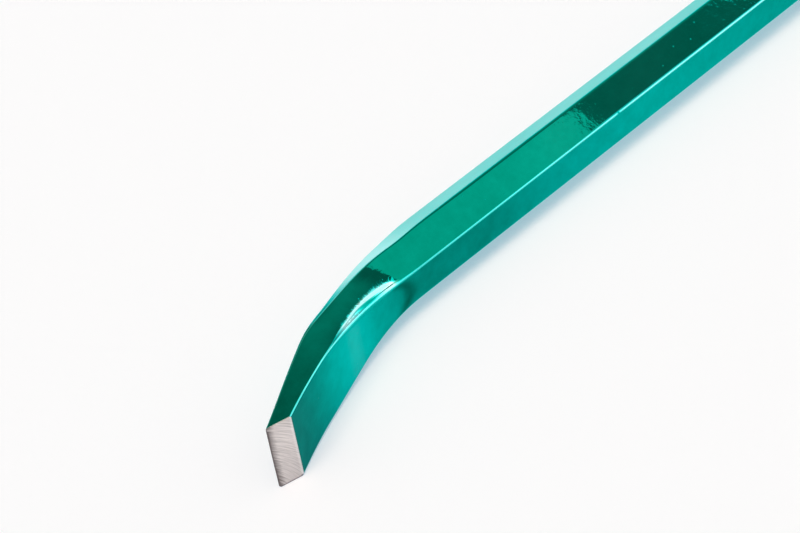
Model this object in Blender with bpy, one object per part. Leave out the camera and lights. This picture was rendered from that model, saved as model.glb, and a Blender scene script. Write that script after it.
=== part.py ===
"""Gooseneck crowbar, forged in one piece from hexagonal steel bar.

The bar lies on its side. The shank runs along X, the chisel end is at +X and
bends towards +Y, the hook curls towards -Y, and +Z is up. Sizes are in metres.
Two flats of the hexagon face +Y and -Y, and two of its corners face up and down.
"""

import math

import bmesh
import bpy
from mathutils import Matrix, Vector

# Bar
ACROSS_FLATS = 0.018
CORNER_RADIUS = 0.0012
OVERALL_LENGTH = 0.600            # cutting edge to the outside of the hook, along the shank

# Chisel end, measured along its front, the hollow side that faces +Y
TAPER_LENGTH = 0.044              # from the full hexagon to the neck
NECK_LENGTH = 0.0085              # from the neck to the heel, the crease across the back
BLADE_LENGTH = 0.035              # from the heel to the cutting edge
NECK_THICKNESS = 0.0103
HEEL_THICKNESS = 0.00965
EDGE_THICKNESS = 0.0049           # before the edge is ground
BLADE_HOLLOW = 1.4                # 1 is a plain wedge, more draws the blade thin sooner
CHISEL_WIDTH = 0.02175
BEND_DELAY = 0.0142               # full hexagon to the start of the bend
CHISEL_BEND_RADIUS = 0.089
CHISEL_BEND_ANGLE = math.radians(15.5)
BLADE_SWEEP_RADIUS = 0.235
FRONT_FLARE_START = 0.0115
FRONT_FLARE_OVERRUN = 0.0085      # the front reaches full width this far past the heel
BACK_FLARE_START = 0.005
RIDGE_START = 0.0125              # where the side corners leave the middle of the bar
RIDGE_SHARE = 0.9                 # how much of the way to the back they have come at the heel
CHISEL_CORNER_RADIUS = 0.0008
CHISEL_GRIND_ANGLE = math.radians(44)

# Hook, measured along its middle line
HOOK_RADIUS = 0.036
HOOK_ANGLE = math.radians(140)
CLAW_SWEEP_RADIUS = 0.125
CLAW_SWEEP_ANGLE = math.radians(26)
FLATTENING_ANGLE = math.radians(55)   # how far round the hook the bar stays a full hexagon

# Claw
CLAW_WIDTH = 0.029
CLAW_THICKNESS = 0.0046           # at the tips, before they are ground
CLAW_THINNING = 1.3               # 1 is a plain wedge, more keeps the bend thicker
CLAW_LAND = 0.014                 # length at full width, behind the tips
CLAW_CORNER_RADIUS = 0.0025
CLAW_GRIND_ANGLE = math.radians(38)
SLOT_DEPTH = 0.043
SLOT_MOUTH_WIDTH = 0.0104
SLOT_ROOT_RADIUS = 0.0018
SLOT_BEVEL_ANGLE = math.radians(7)    # the slot opens towards the hollow side
SLOT_FROM = -ACROSS_FLATS / 4     # how far inwards of the tips' outer face its cutter starts
SLOT_TO = ACROSS_FLATS            # and ends

# Facets
RING_STEP = 0.003                 # longest gap between two rings round a bend
CORNER_CHORDS = 3
ROOT_CHORDS = 8
LEAST_CORNER_CUT = 0.0002
MOST_CORNER_SHARE = 0.45          # of the shorter side beside a corner, for its rounding
CORNER_STOPS = (1.0, 0.5, 0.2, 0.05, 0.0)   # rings at an end's rounded corner, in radii from it
REACH_STEPS = 100                 # steps round the hook in the search for its furthest point
SHARP_ANGLE = math.radians(28)    # edges that turn more than this are shaded sharp
OVERRUN = 0.004                   # what the grinder takes off beyond each edge


def clear_scene():
    """Removes whatever the file opened with."""
    for thing in list(bpy.data.objects):
        bpy.data.objects.remove(thing, do_unlink=True)


def new_collection(name):
    """Adds a collection to the scene."""
    collection = bpy.data.collections.new(name)
    bpy.context.scene.collection.children.link(collection)
    return collection


def green_lacquer():
    """Clear green lacquer over bright steel."""
    material = bpy.data.materials.new("green_lacquer")
    material.use_nodes = True
    shader = material.node_tree.nodes["Principled BSDF"]
    shader.inputs["Base Color"].default_value = (0.0, 0.32, 0.24, 1.0)
    shader.inputs["Metallic"].default_value = 0.75
    shader.inputs["Roughness"].default_value = 0.22
    shader.inputs["Coat Weight"].default_value = 1.0
    shader.inputs["Coat Roughness"].default_value = 0.03
    return material


def ground_steel():
    """Bare steel with the marks of the grinding wheel."""
    material = bpy.data.materials.new("ground_steel")
    material.use_nodes = True
    shader = material.node_tree.nodes["Principled BSDF"]
    shader.inputs["Base Color"].default_value = (0.56, 0.53, 0.51, 1.0)
    shader.inputs["Metallic"].default_value = 1.0
    shader.inputs["Roughness"].default_value = 0.42
    return material


def eased(share):
    """Runs from 0 to 1, level at both ends."""
    share = min(max(share, 0.0), 1.0)
    return share * share * (3 - 2 * share)


def mixed(first, second, share):
    """A value between two others."""
    return first + (second - first) * share


def turned(point, heading, radius, angle):
    """The place and heading after an arc that turns left, or right with a negative angle."""
    side = math.copysign(1.0, angle)
    across = Vector((-math.sin(heading), math.cos(heading))) * side
    centre = point + across * radius
    return centre + Matrix.Rotation(angle, 2) @ (point - centre), heading + angle


def follow(point, heading, moves, run):
    """The place and heading at a run along straights and arcs; the last move goes on for ever.

    A move is (length, radius, side), with no radius on a straight.
    """
    for number, (length, radius, side) in enumerate(moves):
        is_last = number == len(moves) - 1
        part = run if is_last else min(run, length)
        if radius is None:
            point = point + Vector((math.cos(heading), math.sin(heading))) * part
        else:
            point, heading = turned(point, heading, radius, side * part / radius)
        run -= part
        if run <= 0:
            break
    return point, heading


def chisel_length():
    """Length of the worked end along its front, full hexagon to cutting edge."""
    return TAPER_LENGTH + NECK_LENGTH + BLADE_LENGTH


def chisel_thickness(run):
    """Thickness of the chisel end, square to its front."""
    neck = TAPER_LENGTH
    heel = neck + NECK_LENGTH
    if run <= neck:
        return mixed(ACROSS_FLATS, NECK_THICKNESS, eased(run / neck))
    if run <= heel:
        return mixed(NECK_THICKNESS, HEEL_THICKNESS, (run - neck) / NECK_LENGTH)
    left = max(1 - (run - heel) / BLADE_LENGTH, 0.0)
    return EDGE_THICKNESS + (HEEL_THICKNESS - EDGE_THICKNESS) * left ** BLADE_HOLLOW


def chisel_faces(run, start):
    """The middle of the front and of the back at a run along the chisel end."""
    moves = [
        (BEND_DELAY, None, 0),
        (CHISEL_BEND_RADIUS * CHISEL_BEND_ANGLE, CHISEL_BEND_RADIUS, 1),
        (0, BLADE_SWEEP_RADIUS, 1),
    ]
    front, heading = follow(Vector((start, ACROSS_FLATS / 2)), 0.0, moves, run)
    inward = Vector((math.sin(heading), -math.cos(heading)))
    return front, front + inward * chisel_thickness(run)


def rounded_end(half_width, to_edge, radius):
    """Draws a half width in by the arc of a rounded corner near the edge."""
    if to_edge >= radius:
        return half_width
    short = radius - max(to_edge, 0.0)
    return half_width - radius + math.sqrt(radius ** 2 - short ** 2)


def chisel_section(run, start):
    """Corners of the section across the chisel end."""
    half_flat = ACROSS_FLATS / math.sqrt(3) / 2
    half_bar = 2 * half_flat
    heel = TAPER_LENGTH + NECK_LENGTH
    front_end = heel + FRONT_FLARE_OVERRUN
    front_share = eased((run - FRONT_FLARE_START) / (front_end - FRONT_FLARE_START))
    back_share = eased((run - BACK_FLARE_START) / (heel - BACK_FLARE_START))
    to_edge = chisel_length() - run
    half = rounded_end(CHISEL_WIDTH / 2, to_edge, CHISEL_CORNER_RADIUS)
    ridge_share = min(max((run - RIDGE_START) / (heel - RIDGE_START), 0.0), 1.0)
    front, back = chisel_faces(run, start)
    side = mixed((front + back) / 2, back, ridge_share * RIDGE_SHARE)
    return section(
        front, side, back,
        mixed(half_flat, half, front_share),
        mixed(half_bar, half, back_share),
        mixed(half_flat, half, back_share),
    )


def hook_length():
    """Length of the hook and claw along their middle line, shank to tips."""
    return HOOK_RADIUS * HOOK_ANGLE + CLAW_SWEEP_RADIUS * CLAW_SWEEP_ANGLE


def claw_share(run):
    """0 where the bar starts to flatten, 1 at the claw's tips."""
    first = HOOK_RADIUS * FLATTENING_ANGLE
    return min(max((run - first) / (hook_length() - first), 0.0), 1.0)


def hook_middle(run, start):
    """The place and heading of the hook's middle line at a run from the shank."""
    moves = [
        (HOOK_RADIUS * HOOK_ANGLE, HOOK_RADIUS, 1),
        (CLAW_SWEEP_RADIUS * CLAW_SWEEP_ANGLE, CLAW_SWEEP_RADIUS, 1),
        (0, None, 0),
    ]
    return follow(Vector((start, 0.0)), math.pi, moves, run)


def hook_faces(run, start):
    """The middle of the outer and of the inner face along the hook."""
    middle, heading = hook_middle(run, start)
    thickness = mixed(ACROSS_FLATS, CLAW_THICKNESS, claw_share(run) ** CLAW_THINNING)
    inward = Vector((-math.sin(heading), math.cos(heading)))
    return middle - inward * thickness / 2, middle + inward * thickness / 2


def hook_reach():
    """How far the outside of the hook stands beyond the end of the shank."""
    turn = HOOK_RADIUS * HOOK_ANGLE
    runs = [turn * step / REACH_STEPS for step in range(REACH_STEPS + 1)]
    return max(-hook_faces(run, 0.0)[0].x for run in runs)


def hook_section(run, start):
    """Corners of the section across the hook and claw."""
    half_flat = ACROSS_FLATS / math.sqrt(3) / 2
    half_bar = 2 * half_flat
    first = HOOK_RADIUS * FLATTENING_ANGLE
    flare = eased((run - first) / (hook_length() - CLAW_LAND - first))
    half = rounded_end(CLAW_WIDTH / 2, hook_length() - run, CLAW_CORNER_RADIUS)
    outer, inner = hook_faces(run, start)
    return section(
        outer, (outer + inner) / 2, inner,
        mixed(half_flat, half, flare),
        mixed(half_bar, half, flare),
        mixed(half_flat, half, flare),
    )


def section(plus, side, minus, half_plus, half_side, half_minus):
    """Six corners round the bar: the face towards +Y of the shank, the sides, the other face."""
    return [
        Vector((side.x, side.y, half_side)),
        Vector((plus.x, plus.y, half_plus)),
        Vector((plus.x, plus.y, -half_plus)),
        Vector((side.x, side.y, -half_side)),
        Vector((minus.x, minus.y, -half_minus)),
        Vector((minus.x, minus.y, half_minus)),
    ]


def rounded(corners, radius, chords):
    """Rounds each corner of a closed outline with an arc that keeps to its own sides."""
    outline = []
    for number, corner in enumerate(corners):
        before = corners[number - 1] - corner
        after = corners[(number + 1) % len(corners)] - corner
        half_angle = before.angle(after) / 2
        longest = MOST_CORNER_SHARE * min(before.length, after.length)
        cut = min(max(radius / math.tan(half_angle), LEAST_CORNER_CUT), longest)
        first = corner + before.normalized() * cut
        last = corner + after.normalized() * cut
        pull = math.sin(half_angle)
        for chord in range(chords + 1):
            t = chord / chords
            weights = ((1 - t) ** 2, 2 * pull * t * (1 - t), t ** 2)
            outline.append((first * weights[0] + corner * weights[1] + last * weights[2]) / sum(weights))
    return outline


def runs_between(stops, step):
    """Evenly spaced runs from stop to stop, none further apart than the step."""
    runs = [stops[0]]
    for low, high in zip(stops, stops[1:]):
        count = max(1, math.ceil((high - low) / step))
        runs += [mixed(low, high, number / count) for number in range(1, count + 1)]
    return runs


def corner_stops(end, radius):
    """Runs that catch a rounded corner before an end."""
    return [end - radius * share for share in CORNER_STOPS]


def chisel_rings(start):
    """Sections from the shank to just past the cutting edge."""
    neck = TAPER_LENGTH
    heel = neck + NECK_LENGTH
    bend_end = BEND_DELAY + CHISEL_BEND_RADIUS * CHISEL_BEND_ANGLE
    stops = [0.0, BACK_FLARE_START, FRONT_FLARE_START, RIDGE_START, BEND_DELAY, bend_end, neck, heel]
    stops = sorted(stops) + corner_stops(chisel_length(), CHISEL_CORNER_RADIUS)
    runs = runs_between(stops + [chisel_length() + OVERRUN], RING_STEP)
    return [rounded(chisel_section(run, start), CORNER_RADIUS, CORNER_CHORDS) for run in runs]


def hook_rings(start):
    """Sections from the shank round the hook to just past the claw's tips."""
    stops = [0.0, HOOK_RADIUS * FLATTENING_ANGLE, HOOK_RADIUS * HOOK_ANGLE, hook_length() - CLAW_LAND]
    stops = sorted(stops) + corner_stops(hook_length(), CLAW_CORNER_RADIUS)
    runs = runs_between(stops + [hook_length() + OVERRUN], RING_STEP)
    return [rounded(hook_section(run, start), CORNER_RADIUS, CORNER_CHORDS) for run in runs]


def lofted(name, rings, collection, material):
    """A closed body through rings of equal point counts."""
    shape = bmesh.new()
    rows = [[shape.verts.new(point) for point in ring] for ring in rings]
    for near, far in zip(rows, rows[1:]):
        for number in range(len(near)):
            after = (number + 1) % len(near)
            shape.faces.new((near[number], near[after], far[after], far[number]))
    shape.faces.new(rows[0])
    shape.faces.new(rows[-1])
    bmesh.ops.triangulate(shape, faces=shape.faces[:])
    bmesh.ops.recalc_face_normals(shape, faces=shape.faces[:])
    mesh = bpy.data.meshes.new(name)
    shape.to_mesh(mesh)
    shape.free()
    mesh.materials.append(material)
    body = bpy.data.objects.new(name, mesh)
    collection.objects.link(body)
    return body


def grinding_block(name, edge, behind, grind_angle, width, collection, material):
    """A block whose flat side bevels a blade from an edge, at an angle to the face behind it."""
    heading = math.atan2(edge.y - behind.y, edge.x - behind.x) - grind_angle
    outward = Vector((-math.sin(heading), math.cos(heading)))
    size = width + 2 * OVERRUN
    shape = bmesh.new()
    bmesh.ops.create_cube(shape, size=size)
    mesh = bpy.data.meshes.new(name)
    shape.to_mesh(mesh)
    shape.free()
    mesh.materials.append(material)
    block = bpy.data.objects.new(name, mesh)
    centre = edge + outward * size / 2
    block.location = (centre.x, centre.y, 0.0)
    block.rotation_euler = (0.0, 0.0, heading)
    block.hide_render = True
    block.display_type = "WIRE"
    collection.objects.link(block)
    return block


def chisel_grinder(start, collection, material):
    """The wheel that bevels the front of the chisel down to its back."""
    edge = chisel_faces(chisel_length(), start)[1]
    behind = chisel_faces(chisel_length() - RING_STEP, start)[1]
    angle = CHISEL_GRIND_ANGLE
    return grinding_block("chisel_grinder", edge, behind, angle, CHISEL_WIDTH, collection, material)


def claw_grinder(start, collection, material):
    """The wheel that bevels the hollow side of the claw down to its tips."""
    edge = hook_faces(hook_length(), start)[0]
    behind = hook_faces(hook_length() - RING_STEP, start)[0]
    return grinding_block("claw_grinder", edge, behind, CLAW_GRIND_ANGLE, CLAW_WIDTH, collection, material)


def slot_outline(widening):
    """The V of the nail slot seen square to the claw: along from the tips, and across."""
    root = SLOT_ROOT_RADIUS + widening
    mouth = SLOT_MOUTH_WIDTH / 2 + widening
    middle = SLOT_ROOT_RADIUS - SLOT_DEPTH
    beyond = mouth + (mouth - root) * OVERRUN * 2 / -middle
    outline = [(OVERRUN * 2, -beyond), (OVERRUN * 2, beyond)]
    for chord in range(ROOT_CHORDS + 1):
        angle = math.pi / 2 + math.pi * chord / ROOT_CHORDS
        outline.append((middle + root * math.cos(angle), root * math.sin(angle)))
    return outline


def slot_cutter(start, collection, material):
    """A tapered wedge through the claw, wider on the hollow side."""
    tips = hook_faces(hook_length(), start)[0]
    heading = hook_middle(hook_length() - SLOT_DEPTH / 2, start)[1]
    along = Vector((math.cos(heading), math.sin(heading)))
    inward = Vector((-along.y, along.x))
    rings = []
    for depth in (SLOT_FROM, SLOT_TO):
        widening = depth * math.tan(SLOT_BEVEL_ANGLE)
        ring = []
        for forward, across in slot_outline(widening):
            place = tips + along * forward + inward * depth
            ring.append(Vector((place.x, place.y, across)))
        rings.append(ring)
    cutter = lofted("slot_cutter", rings, collection, material)
    cutter.hide_render = True
    cutter.display_type = "WIRE"
    return cutter


def cut(body, cutter, transfer):
    """Takes a cutter out of a body, leaving the cutter's own finish where asked."""
    boolean = body.modifiers.new(cutter.name, "BOOLEAN")
    boolean.operation = "DIFFERENCE"
    boolean.solver = "EXACT"
    boolean.object = cutter
    boolean.material_mode = "TRANSFER" if transfer else "INDEX"


def lowest_and_highest(body):
    """Corners of the finished shape's box."""
    bpy.context.view_layer.update()
    finished = body.evaluated_get(bpy.context.evaluated_depsgraph_get())
    places = [finished.matrix_world @ Vector(corner) for corner in finished.bound_box]
    low = Vector([min(place[axis] for place in places) for axis in range(3)])
    high = Vector([max(place[axis] for place in places) for axis in range(3)])
    return low, high


def forged_bar(parts, cutters):
    """Shank, chisel end and clawed hook in one forging."""
    lacquer = green_lacquer()
    steel = ground_steel()
    edge_reach = chisel_faces(chisel_length(), 0.0)[1].x
    chisel_start = OVERALL_LENGTH / 2 - edge_reach
    hook_start = hook_reach() - OVERALL_LENGTH / 2
    rings = hook_rings(hook_start)[::-1] + chisel_rings(chisel_start)
    bar = lofted("forged_bar", rings, parts, lacquer)
    tools = [
        (slot_cutter(hook_start, cutters, lacquer), False),
        (claw_grinder(hook_start, cutters, steel), True),
        (chisel_grinder(chisel_start, cutters, steel), True),
    ]
    for tool, transfer in tools:
        cut(bar, tool, transfer)
    return [bar] + [tool for tool, transfer in tools]


def stand_on_origin(things, collection):
    """Hangs all from an empty that puts the middle of the bar's underside on the origin."""
    low, high = lowest_and_highest(things[0])
    crowbar = bpy.data.objects.new("crowbar", None)
    collection.objects.link(crowbar)
    for thing in things:
        thing.parent = crowbar
    crowbar.location = (-(low.x + high.x) / 2, -(low.y + high.y) / 2, -low.z)
    bpy.context.view_layer.update()


def main():
    """Builds the crowbar."""
    clear_scene()
    parts = new_collection("crowbar")
    cutters = new_collection("cutters")
    things = forged_bar(parts, cutters)
    stand_on_origin(things, parts)
    things[0].data.shade_smooth()
    things[0].data.set_sharp_from_angle(angle=SHARP_ANGLE)


main()
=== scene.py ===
# Gooseneck crowbar, made of one bar of hexagonal steel: a bent chisel end, a long
# shank, and a hook that ends in a slotted claw. Green lacquer covers all but the two
# ground ends. Everything is in metres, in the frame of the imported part.

import math

import bmesh
import bpy
import numpy as np
from mathutils import Matrix, Vector


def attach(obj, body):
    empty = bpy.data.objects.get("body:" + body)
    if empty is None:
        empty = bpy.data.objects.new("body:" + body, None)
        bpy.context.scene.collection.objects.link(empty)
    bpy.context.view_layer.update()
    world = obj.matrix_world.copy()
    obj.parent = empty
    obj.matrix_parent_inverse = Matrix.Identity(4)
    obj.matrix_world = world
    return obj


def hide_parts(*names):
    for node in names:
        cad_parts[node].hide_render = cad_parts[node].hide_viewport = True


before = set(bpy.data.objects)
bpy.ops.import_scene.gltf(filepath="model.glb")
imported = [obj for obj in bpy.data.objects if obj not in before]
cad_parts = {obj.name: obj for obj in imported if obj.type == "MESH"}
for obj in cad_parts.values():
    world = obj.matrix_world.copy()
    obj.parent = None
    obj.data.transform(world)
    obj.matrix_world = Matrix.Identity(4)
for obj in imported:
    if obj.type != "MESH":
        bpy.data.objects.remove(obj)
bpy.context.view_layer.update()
print("frame loaded:", ", ".join(sorted(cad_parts)))


# ---- helpers

seam = {
    "merge": 2e-7,               # points closer than this become one
    "leastEdge": 1e-7,
}


def ease(t):
    # 3 t squared less 2 t cubed, with t held between 0 and 1
    t = np.clip(t, 0.0, 1.0)
    return t * t * (3.0 - 2.0 * t)


def mix(first, second, share):
    # first plus the share of the way to second
    return first + (second - first) * share


def follow(start, heading, moves, run):
    # goes along moves of (length, bend): a straight adds s cos h and s sin h, and an arc
    # of bend k adds (sin(h + ks) - sin h) / k and (cos h - cos(h + ks)) / k
    x, y = np.full_like(run, start[0]), np.full_like(run, start[1])
    heading = np.full_like(run, heading)
    left = run
    for number, (length, bend) in enumerate(moves):
        part = np.minimum(left, length) if number == 0 else np.clip(left, 0.0, length)
        after = heading + bend * part
        if bend:
            x = x + (np.sin(after) - np.sin(heading)) / bend
            y = y + (np.cos(heading) - np.cos(after)) / bend
        else:
            x = x + part * np.cos(heading)
            y = y + part * np.sin(heading)
        heading = after
        left = left - part
    return np.stack([x, y], -1), heading


def meshFrom(name, points, faces, material, collection, layers):
    # one closed mesh: doubles merged, open rims filled, faces turned outwards; each layer
    # is a number for every point, which the finish reads by the layer's name
    mesh = bpy.data.meshes.new(name)
    mesh.from_pydata(points, [], faces)
    for label, numbers in layers.items():
        layer = mesh.attributes.new(label, "FLOAT", "POINT")
        layer.data.foreach_set("value", numbers.astype(np.float32))
    shape = bmesh.new()
    shape.from_mesh(mesh)
    bmesh.ops.remove_doubles(shape, verts=shape.verts, dist=seam["merge"])
    bmesh.ops.dissolve_degenerate(shape, edges=shape.edges, dist=seam["leastEdge"])
    loose = [corner for corner in shape.verts if not corner.link_faces]
    bmesh.ops.delete(shape, geom=loose, context="VERTS")
    rims = [edge for edge in shape.edges if edge.is_boundary]
    bmesh.ops.holes_fill(shape, edges=rims, sides=0)
    bmesh.ops.recalc_face_normals(shape, faces=shape.faces)
    shape.to_mesh(mesh)
    shape.free()
    mesh.shade_smooth()
    mesh.materials.append(material)
    piece = bpy.data.objects.new(name, mesh)
    collection.objects.link(piece)
    return piece


# ---- the bar

bar = {
    "acrossFlats": 0.018,
    "cornerRadius": 0.0012,      # rolled corners of the hexagon
    "leastCornerCut": 0.0002,
    "mostCornerShare": 0.45,     # of the shorter side, for one rolled corner
    "length": 0.600,             # cutting edge to the outside of the hook
    "axisY": 0.031813,           # where the shank's middle line lies in the frame
    "axisZ": 0.0145,
}

chisel = {
    "taperLength": 0.044,        # full hexagon to the neck, along the hollow front
    "neckLength": 0.0085,        # neck to the crease across the back
    "bladeLength": 0.035,        # crease to the cutting edge
    "neckThickness": 0.0103,
    "heelThickness": 0.00965,
    "edgeThickness": 0.0049,
    "bladeHollow": 1.4,          # more draws the blade thin sooner
    "width": 0.02175,
    "bendDelay": 0.0142,
    "bendRadius": 0.089,
    "bendAngle": math.radians(15.5),
    "sweepRadius": 0.235,
    "frontFlareStart": 0.0115,
    "frontFlareOverrun": 0.0085,
    "backFlareStart": 0.005,
    "ridgeStart": 0.0115,        # where the side corners leave the middle of the bar
    "ridgeMerge": 0.9,           # how close they come to the back
    "ridgeKeen": 0.45,
    "ridgeKeenRun": (-0.020, 0.012),
    "creaseSoft": 0.004,         # half the stretch that rounds the crease
    "creaseSteps": 7,
    "ridgeSoft": 0.09,           # share of the way over which they start to bend off
    "lowerMerge": 0.50,          # and on the lower half, whose last corner is worn round
    "keenRun": (0.062, 0.084),   # where the lower front corner gets keener
    "keen": 0.55,
    "cornerRadius": 0.0008,
    "grindAngle": math.radians(44),
    "rollGain": 1.1,             # how much wider the front corner is rolled round the bend
    "rollRun": 0.034,
    "rollReach": 0.014,
    "rollKeenRun": (0.043, 0.058),   # and where it gets keener on the blade
    "rollKeen": 0.50,
}

hook = {
    "radius": 0.036,
    "angle": math.radians(140),
    "sweepRadius": 0.125,
    "sweepAngle": math.radians(26),
    "flattening": math.radians(55),   # the bar stays a full hexagon this far round
    "reachSteps": 101,           # places tried for the outermost point of the hook
}

claw = {
    "width": 0.029,
    "thickness": 0.0046,         # at the tips, before they are ground
    "thinning": 1.3,
    "land": 0.014,               # full width for this length
    "cornerRadius": 0.0025,
    "grindAngle": math.radians(38),
    "slotDepth": 0.043,
    "slotMouth": 0.0104,
    "slotRoot": 0.0018,          # radius of the slot's rounded end
    "slotBevel": math.radians(7),
    "rim": 0.0005,               # radius of the slot's softened rims
}

halfFlat = bar["acrossFlats"] / math.sqrt(3.0) / 2.0
halfBar = 2.0 * halfFlat
cornerTurn = math.pi / 3.0       # how far each corner of the hexagon turns
heel = chisel["taperLength"] + chisel["neckLength"]
chiselLength = heel + chisel["bladeLength"]
hookTurn = hook["radius"] * hook["angle"]
hookLength = hookTurn + hook["sweepRadius"] * hook["sweepAngle"]
flatteningStart = hook["radius"] * hook["flattening"]


def roundedEnd(half, toEdge, radius):
    # a half width drawn in by the arc of a corner: half - r + sqrt(r^2 - (r - toEdge)^2)
    short = radius - np.clip(toEdge, 0.0, radius)
    return half - radius + np.sqrt(radius ** 2 - short ** 2)


def smoothRamp(t, soft):
    # from 0 to 1 as t does, with both bends eased by (t + s)^2 / 4s
    bent = lambda x: np.where(x > soft, x, np.clip(x + soft, 0.0, None) ** 2 / (4.0 * soft))
    return bent(t) - bent(t - 1.0)


def chiselThickness(run):
    # the forged thickness, averaged over a short stretch that rounds the crease at the heel
    steps = np.linspace(-chisel["creaseSoft"], chisel["creaseSoft"], chisel["creaseSteps"])
    return sum(forgedThickness(run + step) for step in steps) / len(steps)


def forgedThickness(run):
    # smooth to the neck, straight to the heel, then a power of what is left to the edge
    toNeck = mix(bar["acrossFlats"], chisel["neckThickness"], ease(run / chisel["taperLength"]))
    pastNeck = (run - chisel["taperLength"]) / chisel["neckLength"]
    toHeel = mix(chisel["neckThickness"], chisel["heelThickness"], pastNeck)
    left = np.clip(1.0 - (run - heel) / chisel["bladeLength"], 0.0, 1.0) ** chisel["bladeHollow"]
    blade = mix(chisel["edgeThickness"], chisel["heelThickness"], left)
    return np.where(run <= chisel["taperLength"], toNeck, np.where(run <= heel, toHeel, blade))


def chiselFaces(run):
    # the front goes straight, round an arc and a flatter arc; the back lies square to it
    moves = [
        (chisel["bendDelay"], 0.0),
        (chisel["bendRadius"] * chisel["bendAngle"], 1.0 / chisel["bendRadius"]),
        (1.0, 1.0 / chisel["sweepRadius"]),
    ]
    front, heading = follow((0.0, bar["acrossFlats"] / 2.0), 0.0, moves, run)
    inward = np.stack([np.sin(heading), -np.cos(heading)], -1)
    return front, front + inward * chiselThickness(run)[..., None]


def chiselSection(run, lower):
    # middle of the front, of the sides and of the back, and the half width at each
    merge = chisel["lowerMerge"] if lower else chisel["ridgeMerge"]
    frontEnd = heel + chisel["frontFlareOverrun"]
    frontShare = ease((run - chisel["frontFlareStart"]) / (frontEnd - chisel["frontFlareStart"]))
    backShare = ease((run - chisel["backFlareStart"]) / (heel - chisel["backFlareStart"]))
    ridge = smoothRamp((run - chisel["ridgeStart"]) / (heel - chisel["ridgeStart"]), chisel["ridgeSoft"])
    half = roundedEnd(chisel["width"] / 2.0, chiselLength - run, chisel["cornerRadius"])
    front, back = chiselFaces(run)
    side = mix((front + back) / 2.0, back, (ridge * merge)[..., None])
    halves = (mix(halfFlat, half, frontShare), mix(halfBar, half, backShare), mix(halfFlat, half, backShare))
    return (front, side, back), halves


def hookFaces(run):
    # a round bend and a flatter one; the outer and inner face lie half a thickness off
    moves = [
        (hookTurn, 1.0 / hook["radius"]),
        (hook["sweepRadius"] * hook["sweepAngle"], 1.0 / hook["sweepRadius"]),
        (1.0, 0.0),
    ]
    middle, heading = follow((0.0, 0.0), math.pi, moves, run)
    share = np.clip((run - flatteningStart) / (hookLength - flatteningStart), 0.0, 1.0)
    thickness = mix(bar["acrossFlats"], claw["thickness"], share ** claw["thinning"])
    offset = np.stack([-np.sin(heading), np.cos(heading)], -1) * (thickness / 2.0)[..., None]
    return middle - offset, middle + offset, heading


def hookSection(run):
    # the same three places and half widths, for the hook and the claw
    flare = ease((run - flatteningStart) / (hookLength - claw["land"] - flatteningStart))
    half = roundedEnd(claw["width"] / 2.0, hookLength - run, claw["cornerRadius"])
    outer, inner, _ = hookFaces(run)
    halves = (mix(halfFlat, half, flare), mix(halfBar, half, flare), mix(halfFlat, half, flare))
    return (outer, (outer + inner) / 2.0, inner), halves


# where both ends start along the bar, so that it is as long as it should be
reachRuns = np.linspace(0.0, hookTurn, hook["reachSteps"])
hookReach = float(-hookFaces(reachRuns)[0][:, 0].min())
edgeReach = float(chiselFaces(np.array([chiselLength]))[1][0, 0])
hookStart = hookReach - bar["length"] / 2.0
chiselStart = bar["length"] / 2.0 - edgeReach
shankLength = chiselStart - hookStart


def section(place, lower=False):
    # place runs along the bar: below 0 the hook, then the shank, then the chisel end
    far, farHalves = hookSection(np.maximum(-place, 0.0))
    near, nearHalves = chiselSection(place - shankLength, lower)
    isHook = place < 0.0
    spots = []
    for there, here in zip(far, near):
        there = there + np.array([hookStart, 0.0])
        here = here + np.array([chiselStart, 0.0])
        spots.append(np.where(isHook[..., None], there, here))
    halves = [np.where(isHook, there, here) for there, here in zip(farHalves, nearHalves)]
    return spots, halves


# ---- the nail slot

tips = hookFaces(np.array([hookLength]))[0][0] + np.array([hookStart, 0.0])
slotHeading = float(hookFaces(np.array([hookLength - claw["slotDepth"] / 2.0]))[2][0])
slotAlong = np.array([math.cos(slotHeading), math.sin(slotHeading)])
slotInward = np.array([-slotAlong[1], slotAlong[0]])
slotMiddle = claw["slotRoot"] - claw["slotDepth"]   # centre of the rounded end, from the tips
slotTaper = math.atan((claw["slotMouth"] / 2.0 - claw["slotRoot"]) / -slotMiddle)


def slotPlace(spot):
    # how far along the slot and how deep below the claw's outer face a point lies
    return (spot - tips) @ slotAlong, (spot - tips) @ slotInward


def slotHalf(along, depth):
    # half of the slot's width: the rounded end's sqrt(r^2 - x^2), then a straight V
    widening = depth * math.tan(claw["slotBevel"])
    root = claw["slotRoot"] + widening
    mouth = claw["slotMouth"] / 2.0 + widening
    past = along - slotMiddle
    arc = np.sqrt(np.maximum(root ** 2 - past ** 2, 0.0))
    return np.where(past < 0.0, arc, root + (mouth - root) * past / -slotMiddle)


def slotDistance(along, depth, across):
    # from a point of a face to the slot's outline
    root = claw["slotRoot"] + depth * math.tan(claw["slotBevel"])
    toRoot = np.hypot(along - slotMiddle, across) - root
    toSide = (across - slotHalf(along, depth)) * math.cos(slotTaper)
    return np.where(along < slotMiddle, toRoot, toSide)


# ---- the skin

grid = {
    "rimSteps": 5,               # across the softened rims of the slot
    "rimRows": 6,                # over the rim at the slot's rounded end
    "flatSteps": 8,
    "cornerSteps": 6,
    "cornerDepth": 0.08,         # how much of the way between the faces a corner takes
    "slopeSteps": 16,
    "wallSteps": 8,
    "shankStep": 0.0016,
    "nickStep": 0.0006,          # between the three rows that carry the nick
    "chiselStep": 0.0009,
    "hookStep": 0.0013,
    "clawStep": 0.0012,
    "rootSteps": 12,             # round the slot's end
    "slotMargin": 0.006,         # how far past the slot its rim is looked for
    "levelAfter": 0.014,         # how far past the slot the rows stand level
    "crowding": 1.35,            # more draws the rows closer together near both ends
    "endStretch": 0.003,         # gives an end its heading, and its search a start
}

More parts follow.
